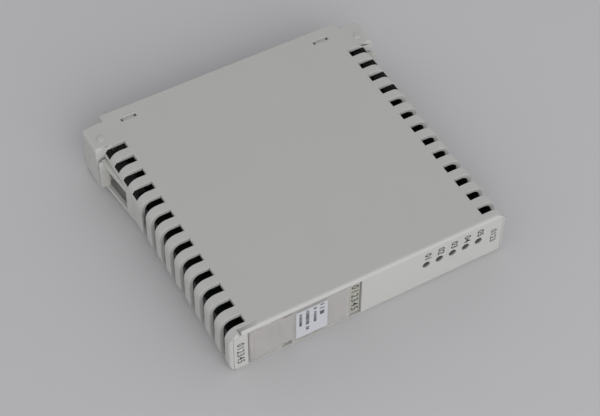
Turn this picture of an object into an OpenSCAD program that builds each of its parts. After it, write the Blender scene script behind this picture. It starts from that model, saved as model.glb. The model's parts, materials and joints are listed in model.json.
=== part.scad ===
// Plug-in communication module of a remote I/O rack, lying on its broad side.
// X runs along the front face, Y from the front face to the rear plug, Z through the thickness.
// The origin is under the middle of the whole module, on the plane that it rests on.

/* [Casing] */
// Width of the casing along its front face, without the rear ears
body_w = 96.8; // [80:0.1:118]
// Thickness of the casing
body_t = 18; // [17:0.1:22]
// Depth from the front face to the rear edge of the broad faces
body_d = 98; // [80:0.5:120]
// Wall thickness of both shells
wall = 1.5; // [1.2:0.05:1.8]
// Rounding of the four long edges
edge_r = 4.2; // [3.5:0.1:5]
// Rounding of the edges round the front face
front_r = 1.3; // [0.8:0.1:1.5]
// Thickness of the front panel's rim, where it meets the shells
rim_t = 2.3; // [2:0.05:2.8]

/* [Vent slots] */
// Distance from one vent slot to the next
slot_pitch = 6.51; // [6:0.01:8]
// Width of a vent slot
slot_w = 3.3; // [2.4:0.05:3.6]
// How far a slot reaches in from the side of the casing
slot_reach = 7.2; // [6:0.1:9]
// Centre of the first slot, behind the front face
slot_first = 4.95; // [4.7:0.05:6]
// Length behind the last slot that is kept closed, at least
rear_land = 14.5; // [14:0.5:20]

/* [Rear ears and plug] */
// How far each rear ear stands out from the side
ear_out = 2.9; // [2:0.1:4]
// Length of the ears along the depth
ear_l = 10.6; // [9:0.1:11]
// How far the ears stop short of the rear edge
ear_back = 2.5; // [1:0.1:4]
// Width of the shells' full-depth middle
rear_mid_w = 87.6; // [70:0.1:90]
// Width of the rear plug
plug_w = 58; // [50:0.5:64]
// Height of the rear plug
plug_h = 8; // [7.5:0.1:10]
// How far the rear plug stands out behind the casing
plug_out = 4; // [2:0.1:5]
// Contacts in one row of the plug
contacts = 20; // [12:1:24]
// Radius of a guide pin
guide_r = 1.9; // [1.5:0.05:2.3]
// How far the guide pins stand out behind the casing
guide_out = 5; // [3:0.1:6]
// Distance of each guide pin from the middle
guide_x = 36; // [34:0.1:38]

/* [Release latches] */
// Thickness of the latch frame
latch_t = 1.4; // [1.2:0.05:1.6]
// Depth of the latch pocket in the side
pocket_depth = 3.6; // [3.5:0.05:3.8]
// Height of the latch pocket
pocket_h = 12.6; // [11:0.1:13]
// How far the latch pocket's middle lies below the middle of the casing
pocket_drop = 1.1; // [0:0.1:1.3]
// Radius of the latch's pivot stubs
stub_r = 0.65; // [0.5:0.05:0.7]
// How far the latch frame leans out of its pocket at its rear end
latch_lean = 1.6; // [1:0.1:1.8]
// Distance that the catch stands out past the side
catch_out = 2.8; // [2:0.1:2.9]

/* [Label flap] */
// Distance of the flap recess from the left side
recess_from_side = 6.1; // [5.5:0.1:8]
// Length of the flap recess
recess_l = 38.8; // [34:0.1:42]
// Height of the flap recess
recess_h = 15.6; // [15:0.1:15.8]
// Depth of the flap recess
recess_depth = 1.95; // [1.85:0.05:2.1]
// Thickness of the flap
flap_t = 0.9; // [0.7:0.05:1]
// Length of the bare strip between the flap's free end and the recess end
nail_gap = 3.9; // [3:0.1:5]
// Radius of the flap's hinge pins
hinge_r = 0.55; // [0.45:0.05:0.6]
// Length of the snap notches in the flap's edges
notch_l = 2.8; // [2:0.1:4]

/* [Status lights] */
// Number of status lights
lights = 5; // [5:1:5]
// Distance from one status light to the next
light_pitch = 4.75; // [4:0.05:5.5]
// Distance of the last status light from the right side
light_from_side = 9.9; // [8:0.1:12]
// Height of the status lights above the base
light_z = 10.1; // [9.5:0.1:11]
// Radius of a status light
light_r = 1.2; // [1:0.05:1.5]

/* [Circuit board] */
// Thickness of the board
board_t = 1.6; // [1:0.1:2]
// Height of the board's underside above the base
board_z = 5.2; // [4.5:0.1:5.5]
// Distance of the board's edge from the casing's side
board_side = 2.1; // [2.1:0.1:4]

/* [Hidden] */
$fn = 64;

free_gap = 0.3;        // between pieces that move past each other
run_gap = 0.07;        // radial clearance of a pin that turns in its hole
fit_gap = 0.1;         // between pieces that only fit together
bite = 1;              // how far a cutting shape runs past what it cuts
paper_t = 0.1;         // stickers
card_t = 0.2;          // the printed card under the flap
strip_t = 1.1;         // the printed plate beside the flap

half_w = body_w / 2;
mid_z = body_t / 2;    // where the two shells meet
front_y = -(body_d + max(plug_out, guide_out)) / 2;
inner_half_w = half_w - wall;
inner_top = body_t - wall;

// Vent slots
slots = floor((body_d - slot_first - rear_land) / slot_pitch) + 1;
function slot_y(i) = slot_first + i * slot_pitch;

// Ears
ear_y1 = body_d - ear_back;
ear_y0 = ear_y1 - ear_l;
ear_edge_r = 1.5;
pip_r = 1.1;
pip_h = 0.35;

// Latches: the last four slots are closed on the side, and the pocket starts behind the first of them
latch_slots = 4;
pocket_wall = 1.1;
pocket_y0 = slot_y(slots - latch_slots) + slot_w / 2 + 0.5;
pocket_y1 = ear_y0;
pocket_z0 = mid_z - pocket_drop - pocket_h / 2;
pocket_z1 = pocket_z0 + pocket_h;
pocket_floor = half_w - pocket_depth;
latch_sink = 0.15;     // how far the frame lies below the casing's side
latch_knuckle_r = stub_r + 0.35;
stub_x = pocket_floor + free_gap + latch_knuckle_r;
stub_y = pocket_y0 + 2.6;
stub_top = 0.9;        // how deep the upper stub stands in the pocket's roof
stub_low = 0.45;       // the same for the lower one, which stays clear of the casing's round edge
latch_post = 2;
latch_window = 1.5;    // from the stubs to the front end of the frame's window
latch_bar = 2.2;
latch_low_bar = 1.3;

// Clip windows near the rear edge and the carrier's tongues in them
clip_x = 35.65;
clip_y = body_d - 4.9;
clip_l = 5.5;
clip_w = 1.4;
tongue_l = 3.9;
tongue_sink = 0.4;

// Flap and its recess
recess_x0 = -half_w + recess_from_side;
recess_x1 = recess_x0 + recess_l;
recess_z0 = mid_z - recess_h / 2 - 0.2;
recess_z1 = recess_z0 + recess_h;
knuckle_r = 1;
hinge_x = recess_x0 + knuckle_r + free_gap + 0.1;
hinge_y = knuckle_r + 0.1;
flap_x1 = recess_x1 - nail_gap;
flap_z0 = recess_z0 + free_gap;
flap_z1 = recess_z1 - free_gap;
pin_l = 0.95;
notch_x = hinge_x + 10.5;
notch_top = 0.9;
notch_low = 1.7;
card_z0 = flap_z0 + notch_low + 0.2;
card_z1 = flap_z1 - notch_top - 0.2;

// Board, and what stands on it: the taller parts stay inboard of the vent slots
board_half_w = half_w - board_side;
parts_half_w = half_w - slot_reach - 0.6;
board_y0 = rim_t + 2.2;
board_y1 = body_d - 8;
waist_y = slot_y(slots - latch_slots) - slot_w / 2 - free_gap;
board_top = board_z + board_t;
room = inner_top - board_top;
screw_x = parts_half_w - 6;
screw_y0 = board_y0 + 17;
screw_y1 = board_y1 - 14;
peg_x = parts_half_w - 4;
peg_y0 = board_y0 + 8;
peg_y1 = board_y1 - 4;
post_r = 2.3;
peg_r = 1.2;
peg_hole = peg_r + 0.02;
screw_r = 0.95;
screw_hole = 1;
pillar_r = 2.5;

// Rear plug and contacts
plug_y0 = board_y1 + fit_gap;
plug_y1 = body_d + plug_out;
carrier_y0 = ear_y1 - 1.8;
contact_pitch = (plug_w - 6) / (contacts - 1);
contact_row = 2;
chamber_y0 = plug_y0 + 2;
chamber_w = 1.3;
chamber_h = 2.2;
contact_w = 0.7;
contact_h = 1.5;
guide_seat_r = guide_r + 0.4;

// Puts a piece that is drawn from the front face backwards into the module's own frame
module from_front() { translate([0, front_y, 0]) children(); }

// Extrudes an X-Z outline along Y
module along_y(y0, y1) { translate([0, y1, 0]) rotate([90, 0, 0]) linear_extrude(y1 - y0) children(); }

// Rectangle with round corners, centred on X, standing on the X axis
module round_rect(w, h, r) {
    translate([0, h / 2]) union() {
        square([w - 2 * r, h], center = true);
        square([w, h - 2 * r], center = true);
        for (sx = [-1, 1], sz = [-1, 1]) translate([sx * (w / 2 - r), sz * (h / 2 - r)]) circle(r);
    }
}

// Box from its lowest and highest corners
module box(a, b) { translate(a) cube(b - a); }

// Both sides of what is symmetric about the module's middle
module both_sides() { children(); mirror([1, 0, 0]) children(); }

// The four places where posts or screws stand
module corners(x, y0, y1) { for (sx = [-1, 1], y = [y0, y1]) translate([sx * x, y, 0]) children(); }

// Outer form of the two shells together, from the panel's rim to the rear edge
module casing_form() {
    difference() {
        along_y(rim_t, body_d) round_rect(body_w, body_t, edge_r);
        both_sides() box([rear_mid_w / 2, ear_y1, -bite], [half_w + bite, body_d + bite, body_t + bite]);
    }
    along_y(ear_y0, ear_y1) round_rect(body_w + 2 * ear_out, body_t, ear_edge_r);
}

module casing_hollow() {
    translate([0, 0, wall])
        along_y(rim_t - bite, body_d + bite) round_rect(body_w - 2 * wall, body_t - 2 * wall, edge_r - wall);
}

// Vent slots of both sides; those beside a latch pocket leave its walls whole
module vent_slots() {
    both_sides() for (i = [0 : slots - 1]) {
        y0 = slot_y(i) - slot_w / 2;
        x0 = half_w - slot_reach;
        if (i < slots - latch_slots)
            box([x0, y0, -bite], [half_w + bite, y0 + slot_w, body_t + bite]);
        else {
            box([x0, y0, pocket_z1 + pocket_wall], [half_w + bite, y0 + slot_w, body_t + bite]);
            box([x0, y0, -bite], [pocket_floor - pocket_wall, y0 + slot_w, wall + bite]);
        }
    }
}

// Walls round the latch pockets, inside the casing
module pocket_walls() {
    both_sides() intersection() {
        box([pocket_floor - pocket_wall, pocket_y0 - pocket_wall, pocket_z0 - pocket_wall],
            [half_w, pocket_y1, pocket_z1 + pocket_wall]);
        along_y(0, body_d) round_rect(body_w, body_t, edge_r);
    }
}

// The latch pockets, a window behind each catch, and the holes for the pivot stubs
module pocket_cuts() {
    both_sides() {
        box([pocket_floor, pocket_y0, pocket_z0], [half_w + ear_out + bite, pocket_y1, pocket_z1]);
        box([pocket_floor - pocket_wall - bite, pocket_y1 - 5.5, pocket_z0 + 5],
            [pocket_floor + bite, pocket_y1 - 1.5, pocket_z1 - 0.8]);
        translate([stub_x, stub_y, pocket_z0 - stub_low - fit_gap])
            cylinder(h = pocket_h + stub_low + stub_top + 2 * fit_gap, r = stub_r + run_gap);
    }
}

module clip_windows() {
    both_sides() box([clip_x - clip_l / 2, clip_y - clip_w / 2, -bite],
                     [clip_x + clip_l / 2, clip_y + clip_w / 2, body_t + bite]);
}

module casing() {
    difference() {
        union() {
            difference() { casing_form(); casing_hollow(); }
            pocket_walls();
        }
        vent_slots();
        pocket_cuts();
        clip_windows();
    }
}

module half_space(z0, z1) {
    box([-body_w, -bite, z0], [body_w, body_d + bite, z1]);
}

// Upper shell with four pegs that press into the base shell's posts
module cover_shell() {
    color("gainsboro") from_front() {
        intersection() { casing(); half_space(mid_z, body_t + bite); }
        both_sides() translate([half_w - 1, ear_y0 + 4, body_t - 0.05]) cylinder(h = pip_h + 0.05, r = pip_r);
        corners(peg_x, peg_y0, peg_y1) {
            translate([0, 0, mid_z]) cylinder(h = inner_top - mid_z + 0.1, r = post_r);
            translate([0, 0, wall + 1]) cylinder(h = mid_z - wall, r = peg_r);
        }
    }
}

// Lower shell with the hollow posts for the pegs and the pillars that carry the board
module base_shell() {
    color("gainsboro") from_front() {
        intersection() { casing(); half_space(-bite, mid_z); }
        corners(peg_x, peg_y0, peg_y1) difference() {
            translate([0, 0, wall - 0.1]) cylinder(h = mid_z - wall + 0.1, r = post_r);
            translate([0, 0, wall + 0.5]) cylinder(h = mid_z, r = peg_hole);
        }
        corners(screw_x, screw_y0, screw_y1) difference() {
            translate([0, 0, wall - 0.1]) cylinder(h = board_z - wall + 0.1, r = pillar_r);
            translate([0, 0, wall]) cylinder(h = board_z, r = screw_hole);
        }
    }
}

// Outer form of the front panel: its outline, rounded at the edges of the front face
module panel_form() {
    intersection() {
        along_y(0, rim_t) round_rect(body_w, body_t, edge_r);
        translate([-half_w, 0, 0]) rotate([90, 0, 90]) linear_extrude(body_w) union() {
            translate([front_r, 0]) square([rim_t - front_r, body_t]);
            translate([0, front_r]) square([rim_t, body_t - 2 * front_r]);
            for (z = [front_r, body_t - front_r]) translate([front_r, z]) circle(front_r);
        }
        linear_extrude(body_t) union() {
            translate([-half_w, front_r]) square([body_w, rim_t - front_r]);
            translate([-half_w + front_r, 0]) square([body_w - 2 * front_r, rim_t]);
            for (sx = [-1, 1]) translate([sx * (half_w - front_r), front_r]) circle(front_r);
        }
    }
}

// Notch and lead-in ramp beside the flap's hinge, on the upper front edge
module hinge_relief() {
    notch_half = 0.6;
    notch_drop = 1.2;
    ramp_drop = 0.9;
    ramp_y0 = 0.75;
    nx = recess_x0 - 2.2;
    along_y(-bite, rim_t + bite) translate([nx, body_t])
        polygon([[-notch_half, 0], [0, -notch_drop], [notch_half, 0], [notch_half, bite], [-notch_half, bite]]);
    along_y(ramp_y0, rim_t + bite) translate([nx, body_t])
        polygon([[0, -ramp_drop], [6.2, 0], [6.2, bite], [0, bite]]);
}

// Front panel: recess for the flap, bores for its pins, holes for the status lights, and a spigot in the shells
module front_panel() {
    spigot_l = 1.2;
    boss_l = 0.8;
    color("whitesmoke") from_front() difference() {
        union() {
            panel_form();
            box([-parts_half_w, rim_t - 0.1, wall + fit_gap],
                [parts_half_w, rim_t + spigot_l, inner_top - fit_gap]);
            box([recess_x0 - 0.8, rim_t - 0.1, wall + fit_gap], [0, rim_t + boss_l, inner_top - fit_gap]);
        }
        box([recess_x0, -bite, recess_z0], [recess_x1, recess_depth, recess_z1]);
        box([recess_x0, -bite, recess_z0],
            [hinge_x + knuckle_r + free_gap, hinge_y + knuckle_r + free_gap, recess_z1]);
        translate([hinge_x, hinge_y, flap_z0 - pin_l - fit_gap])
            cylinder(h = flap_z1 - flap_z0 + 2 * (pin_l + fit_gap), r = hinge_r + run_gap);
        box([notch_x, -bite, flap_z0], [notch_x + notch_l, rim_t + 2 * bite, flap_z0 + notch_low]);
        box([notch_x, -bite, flap_z1 - notch_top], [notch_x + notch_l, rim_t + 2 * bite, flap_z1]);
        for (i = [0 : lights - 1]) translate([light_x(i), -bite, light_z]) rotate([-90, 0, 0])
            cylinder(h = rim_t + spigot_l + 2 * bite, r = light_r + fit_gap);
        hinge_relief();
    }
}

// Clear flap that turns out on two short pins at its left end
module label_flap() {
    color("ghostwhite") from_front() {
        difference() {
            box([hinge_x, 0.1, flap_z0], [flap_x1, 0.1 + flap_t, flap_z1]);
            box([notch_x, -bite, flap_z0 - bite], [notch_x + notch_l, flap_t + bite, flap_z0 + notch_low]);
            box([notch_x, -bite, flap_z1 - notch_top], [notch_x + notch_l, flap_t + bite, flap_z1 + bite]);
        }
        translate([hinge_x, hinge_y, flap_z0]) cylinder(h = flap_z1 - flap_z0, r = knuckle_r);
        translate([hinge_x, hinge_y, flap_z0 - pin_l]) cylinder(h = flap_z1 - flap_z0 + 2 * pin_l, r = hinge_r);
    }
}

// Sticker on the flap's face
module rating_label() {
    label_x = notch_x + notch_l + 1.5;
    color("white") from_front()
        box([label_x, 0.1 - paper_t, flap_z0 + 1.2], [label_x + 10.8, 0.1, flap_z1 - 1.2]);
}

// Printed card that lies in the recess behind the flap
module tag_card() {
    color("lightgray") from_front()
        box([hinge_x + knuckle_r + free_gap + 0.3, recess_depth - card_t, card_z0],
            [flap_x1 - 0.4, recess_depth, card_z1]);
}

// Printed plate on the recess floor, seen beside the flap's free end
module type_strip() {
    color("darkseagreen") from_front()
        box([flap_x1 + 0.4, recess_depth - strip_t, recess_z0 + 0.5],
            [recess_x1 - 0.2, recess_depth, recess_z1 - 0.7]);
}

function light_x(i) = half_w - light_from_side - (lights - 1 - i) * light_pitch;
holder_y0 = rim_t + 2.3;
holder_l = 4;

// One status light: a lens that reaches through the panel from its holder on the board
module status_light(i) {
    lens_y0 = 0.1;
    color("darkolivegreen") from_front() translate([light_x(i), lens_y0, light_z]) rotate([-90, 0, 0])
        cylinder(h = holder_y0 - lens_y0, r = light_r);
}
module status_light_1() { status_light(0); }
module status_light_2() { status_light(1); }
module status_light_3() { status_light(2); }
module status_light_4() { status_light(3); }
module status_light_5() { status_light(4); }

// Black right-angle holder that carries all the status lights
module light_holder() {
    color("black") from_front()
        box([light_x(0) - 2.2, holder_y0, board_top],
            [light_x(lights - 1) + 2.2, holder_y0 + holder_l, light_z + 2]);
}

// Two thin insulating strips that stand along the board's edges, behind the vent slots
module slot_screens() {
    screen_t = 0.3;
    screen_x = board_half_w + fit_gap;
    color("black") from_front() both_sides()
        box([screen_x, board_y0, edge_r - 0.6], [screen_x + screen_t, waist_y, body_t - edge_r + 0.6]);
}

// Printed circuit board, narrower beside the latch pockets
module main_board() {
    waist_half_w = pocket_floor - pocket_wall - free_gap;
    color("darkgreen") from_front() difference() {
        union() {
            box([-board_half_w, board_y0, board_z], [board_half_w, waist_y, board_top]);
            box([-waist_half_w, board_y0, board_z], [waist_half_w, board_y1, board_top]);
        }
        translate([0, 0, board_z - bite]) {
            corners(peg_x, peg_y0, peg_y1) cylinder(h = board_t + 2 * bite, r = post_r + fit_gap);
            corners(screw_x, screw_y0, screw_y1) cylinder(h = board_t + 2 * bite, r = screw_r + fit_gap);
        }
    }
}

// Four pan-head screws that hold the board on its pillars
module board_screws() {
    head_r = 2;
    head_h = 1.2;
    color("silver") from_front() corners(screw_x, screw_y0, screw_y1) {
        translate([0, 0, board_top]) difference() {
            cylinder(h = head_h, r = head_r);
            for (a = [0, 90]) rotate(a) translate([-1.1, -0.2, head_h - 0.6]) cube([2.2, 0.4, 1]);
        }
        translate([0, 0, wall + 0.6]) cylinder(h = board_top - wall - 0.6, r = screw_r);
    }
}

// A chip: body on the board at x, y, with its legs out to the sides along X
module chip(x, y, w, d, h, legs) {
    stand = 0.2;
    leg_w = 0.4;
    leg_out = 1;
    translate([x, y, board_top]) {
        translate([-w / 2, -d / 2, stand]) cube([w, d, h]);
        for (s = [-1, 1], i = [0 : legs - 1])
            translate([s * (w + leg_out) / 2, (i - (legs - 1) / 2) * d / legs, h / 4 + stand / 2])
                cube([leg_out + 0.1, leg_w, h / 2 + stand], center = true);
    }
}

board_mid_y = (board_y0 + board_y1) / 2;

module processor() { color("dimgray") from_front() chip(8, board_mid_y, 14, 14, 1.6, 12); }

module memory_chips() {
    color("dimgray") from_front() for (y = [-9, 9]) chip(26, board_mid_y + y, 8, 12, 1.1, 10);
}

module bus_transceivers() {
    color("dimgray") from_front() for (x = [-14, 0, 14]) chip(x, board_y1 - 6.5, 4, 5, 1.5, 4);
}

module optocouplers() {
    color("ivory") from_front() for (i = [0 : 3]) chip(-21 + 9 * i, board_y1 - 15, 4.6, 6.2, 3.2, 2);
}

// Potted DC-DC converter
module power_converter() {
    color("black") from_front() translate([-parts_half_w + 12, board_mid_y - 14, board_top])
        cube([20, 25, room - 1.2]);
}

// Electrolytic capacitors in aluminium cans, standing on the board
module smoothing_capacitors() {
    color("lightsteelblue") from_front() for (y = [-6, 4])
        translate([-4.4, board_mid_y + y - 6, board_top]) cylinder(h = room - 1.2, r = 3.1);
}

module filter_inductor() {
    color("saddlebrown") from_front() translate([-22, board_y0 + 12, board_top]) {
        cylinder(h = 0.8, r = 4.6);
        translate([0, 0, 0.8]) cylinder(h = 3.6, r = 3.6);
        translate([0, 0, 4.4]) cylinder(h = 0.8, r = 4.6);
    }
}

module clock_crystal() {
    color("silver") from_front() translate([8, board_mid_y - 14, board_top]) {
        cube([8, 2, 3.2], center = false);
        for (x = [0, 8]) translate([x, 1, 0]) cylinder(h = 3.2, r = 1);
    }
}

// Glass fuse lying in two clips
module board_fuse() {
    fuse_r = 1.6;
    color("beige") from_front() translate([-12, board_y0 + 9, board_top + 2.4]) rotate([0, 90, 0])
        cylinder(h = 12, r = fuse_r);
    color("silver") from_front() for (x = [-11.5, -2.5])
        translate([x, board_y0 + 9 - 2, board_top]) difference() {
            cube([2, 4, 3]);
            translate([-bite, 2, 2.4]) rotate([0, 90, 0]) cylinder(h = 2 + 2 * bite, r = fuse_r);
        }
}

// Small resistors and capacitors in rows
module chip_resistors() {
    color("black") from_front() for (i = [0 : 7])
        translate([2.5 + 3.4 * i, board_y0 + 10, board_top]) cube([1, 2, 0.6]);
    color("tan") from_front() for (i = [0 : 5])
        translate([-18 + 3 * i, board_mid_y + 13.5, board_top]) cube([1.2, 2, 0.8]);
}

// Rear closing plate with the plug's opening, guide pin seats and four snap tongues
module rear_carrier() {
    edge = wall + fit_gap;
    color("whitesmoke") from_front() difference() {
        union() {
            translate([0, 0, edge])
                along_y(carrier_y0, ear_y1) round_rect(body_w - 2 * edge, body_t - 2 * edge, edge_r - edge);
            along_y(ear_y1 - 0.1, body_d) translate([0, edge])
                round_rect(rear_mid_w - 2 * edge, body_t - 2 * edge, 1);
            both_sides() {
                for (z = [edge, inner_top - fit_gap - 1]) box([clip_x - tongue_l / 2, clip_y - 4, z],
                    [clip_x + tongue_l / 2, carrier_y0 + 0.1, z + 1]);
                box([clip_x - tongue_l / 2, clip_y - clip_w / 2 + fit_gap, inner_top - fit_gap - 0.1],
                    [clip_x + tongue_l / 2, clip_y + clip_w / 2 - fit_gap, body_t - tongue_sink]);
                box([clip_x - tongue_l / 2, clip_y - clip_w / 2 + fit_gap, tongue_sink],
                    [clip_x + tongue_l / 2, clip_y + clip_w / 2 - fit_gap, edge + 0.1]);
            }
        }
        box([-plug_w / 2 - fit_gap, carrier_y0 - bite, mid_z - plug_h / 2 - fit_gap],
            [plug_w / 2 + fit_gap, body_d + bite, mid_z + plug_h / 2 + fit_gap]);
        both_sides() translate([guide_x, carrier_y0 - bite, mid_z]) rotate([-90, 0, 0])
            cylinder(h = body_d, r = guide_seat_r);
    }
}

// Insulating block of the rear plug, with one chamber for each contact
module rear_plug() {
    flange = 1.2;
    color("darkslategray") from_front() difference() {
        union() {
            box([-plug_w / 2, plug_y0, mid_z - plug_h / 2], [plug_w / 2, plug_y1, mid_z + plug_h / 2]);
            box([-plug_w / 2 - flange, plug_y0, mid_z - plug_h / 2 + 0.6],
                [plug_w / 2 + flange, carrier_y0 - fit_gap, mid_z + plug_h / 2]);
        }
        for (i = [0 : contacts - 1], s = [-1, 1])
            translate([(i - (contacts - 1) / 2) * contact_pitch - chamber_w / 2, chamber_y0,
                       mid_z + s * contact_row - chamber_h / 2])
                cube([chamber_w, plug_y1, chamber_h]);
    }
}

// Gold-plated contact blades in the plug's chambers, and their solder tails on the board
module plug_contacts() {
    blade_l = 8;
    tail_l = 1.6;
    color("gold") from_front() for (i = [0 : contacts - 1]) {
        x = (i - (contacts - 1) / 2) * contact_pitch;
        for (s = [-1, 1]) translate([x, chamber_y0 + blade_l / 2, mid_z + s * contact_row])
            cube([contact_w, blade_l, contact_h], center = true);
        box([x - contact_w / 2, board_y1 - tail_l, board_top], [x + contact_w / 2, plug_y0, board_top + 0.5]);
    }
}

// Two steel pins with a thicker seated end, which find the rack's sockets before the plug does
module guide_pins() {
    tip = 0.8;
    seat_l = body_d - carrier_y0;
    pin_end = seat_l + guide_out;
    color("silver") from_front() both_sides()
        translate([guide_x, carrier_y0, mid_z]) rotate([-90, 0, 0]) rotate_extrude()
            polygon([[0, 0], [guide_seat_r, 0], [guide_seat_r, seat_l], [guide_r, seat_l],
                     [guide_r, pin_end - tip], [guide_r - tip, pin_end], [0, pin_end]]);
}

// Right-hand release latch: an open frame on two stubs that leans out of its pocket towards the rear, where a
// catch with a flat front face and a ramp behind stands out
module latch() {
    z0 = pocket_z0 + free_gap;
    z1 = pocket_z1 - free_gap;
    y0 = pocket_y0 + free_gap;
    y1 = pocket_y1 - 3 * free_gap;
    x1 = half_w - latch_sink;
    x0 = x1 - latch_t;
    catch_x = half_w + catch_out;
    catch_y = y1 - 1.2;
    window_y0 = stub_y + latch_window;
    color("white") from_front() {
        difference() {
            translate([0, 0, z0]) linear_extrude(z1 - z0)
                polygon([[x0, y0], [x1, y0], [x1, stub_y],
                         [x1 + latch_lean, y1], [x0 + latch_lean, y1], [x0, stub_y]]);
            box([x0 - bite, window_y0, z0 + latch_low_bar], [catch_x, y1 - latch_post, z1 - latch_bar]);
        }
        translate([0, 0, z0 + 0.3]) linear_extrude(z1 - z0 - 0.6)
            polygon([[x1, catch_y], [catch_x, catch_y], [catch_x, catch_y + 0.6],
                     [x1 + latch_lean, y1], [x1, y1]]);
        translate([stub_x, stub_y, z0]) cylinder(h = z1 - z0, r = latch_knuckle_r);
        box([stub_x, stub_y - latch_knuckle_r, z0], [x0 + 0.1, stub_y + latch_knuckle_r, z1]);
        translate([stub_x, stub_y, pocket_z0 - stub_low])
            cylinder(h = pocket_h + stub_low + stub_top, r = stub_r);
    }
}
module latch_right() { latch(); }
module latch_left() { mirror([1, 0, 0]) latch(); }

cover_shell();
base_shell();
front_panel();
label_flap();
rating_label();
tag_card();
type_strip();
status_light_1();
status_light_2();
status_light_3();
status_light_4();
status_light_5();
light_holder();
main_board();
board_screws();
processor();
memory_chips();
bus_transceivers();
optocouplers();
power_converter();
smoothing_capacitors();
filter_inductor();
clock_crystal();
board_fuse();
chip_resistors();
slot_screens();
rear_carrier();
rear_plug();
plug_contacts();
guide_pins();
latch_left();
latch_right();
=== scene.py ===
"""Looks of the plug-in communication module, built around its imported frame. All sizes are metres."""
import json
import math

import bmesh
import bpy
from mathutils import Matrix, Vector

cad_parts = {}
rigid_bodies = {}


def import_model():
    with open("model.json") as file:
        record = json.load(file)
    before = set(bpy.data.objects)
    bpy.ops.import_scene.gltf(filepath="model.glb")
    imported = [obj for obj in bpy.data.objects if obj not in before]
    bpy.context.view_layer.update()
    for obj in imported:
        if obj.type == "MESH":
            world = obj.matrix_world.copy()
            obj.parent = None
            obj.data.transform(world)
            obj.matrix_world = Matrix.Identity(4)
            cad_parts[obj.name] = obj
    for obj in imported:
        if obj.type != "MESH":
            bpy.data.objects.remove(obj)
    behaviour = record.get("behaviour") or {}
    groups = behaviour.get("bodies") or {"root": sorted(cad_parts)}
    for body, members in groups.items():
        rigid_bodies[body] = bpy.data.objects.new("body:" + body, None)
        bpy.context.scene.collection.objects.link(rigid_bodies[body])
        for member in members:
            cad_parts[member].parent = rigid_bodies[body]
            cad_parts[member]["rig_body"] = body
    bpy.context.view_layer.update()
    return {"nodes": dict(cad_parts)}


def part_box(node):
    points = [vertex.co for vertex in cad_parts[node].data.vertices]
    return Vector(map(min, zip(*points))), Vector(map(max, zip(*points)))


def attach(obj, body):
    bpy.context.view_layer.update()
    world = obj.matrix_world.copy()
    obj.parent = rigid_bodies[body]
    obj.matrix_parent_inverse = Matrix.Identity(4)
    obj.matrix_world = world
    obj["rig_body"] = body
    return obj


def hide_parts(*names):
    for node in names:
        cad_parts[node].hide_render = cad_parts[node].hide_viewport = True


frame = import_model()
MM = 0.001

# --- Camera -------------------------------------------------------------------------------------
# A table-top shot from above the front left corner, with a long lens, so that the long edges stay
# nearly parallel.
AZIMUTH, ELEVATION, ROLL = math.radians(-29.77), math.radians(50.22), math.radians(0.35)
CAMERA_TARGET = Vector((-2.56, -12.16, 9.0)) * MM
CAMERA_DISTANCE = 535.66 * MM

away = Vector((math.sin(AZIMUTH), -math.cos(AZIMUTH), math.tan(ELEVATION))).normalized()
across = (-away).cross(Vector((0, 0, 1))).normalized()
upward = across.cross(-away)
across, upward = (math.cos(ROLL) * across + math.sin(ROLL) * upward,
                  math.cos(ROLL) * upward - math.sin(ROLL) * across)
camera_data = bpy.data.cameras.new("camera")
camera_data.lens = 102.2
camera_data.sensor_width = 36
camera_data.clip_start, camera_data.clip_end = 0.01, 20
camera = bpy.data.objects.new("camera", camera_data)
camera.matrix_world = Matrix((across, upward, away)).transposed().to_4x4()
camera.location = CAMERA_TARGET + away * CAMERA_DISTANCE
bpy.context.scene.collection.objects.link(camera)
bpy.context.scene.camera = camera
bpy.context.scene.view_settings.view_transform = "Standard"

# --- Floor and light ----------------------------------------------------------------------------
# A plain pale matt table. The room is bright all round at table height, as by wide windows, and darker
# overhead; one large soft light stands in front, a little to the left.
FLOOR_SIZE = 3.0
KEY_AZIMUTH, KEY_ELEVATION = math.radians(-6), math.radians(30)
KEY_DISTANCE, KEY_SIZE, KEY_WATTS = 1.3, 1.3, 10.5
SKY_AT_TABLE, SKY_OVERHEAD = 1.4, 0.26
CLOUD_SIZE = 18 * MM
GLOSS_SPREAD = 0.05
GRAIN_DEPTH = 0.03 * MM


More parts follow.
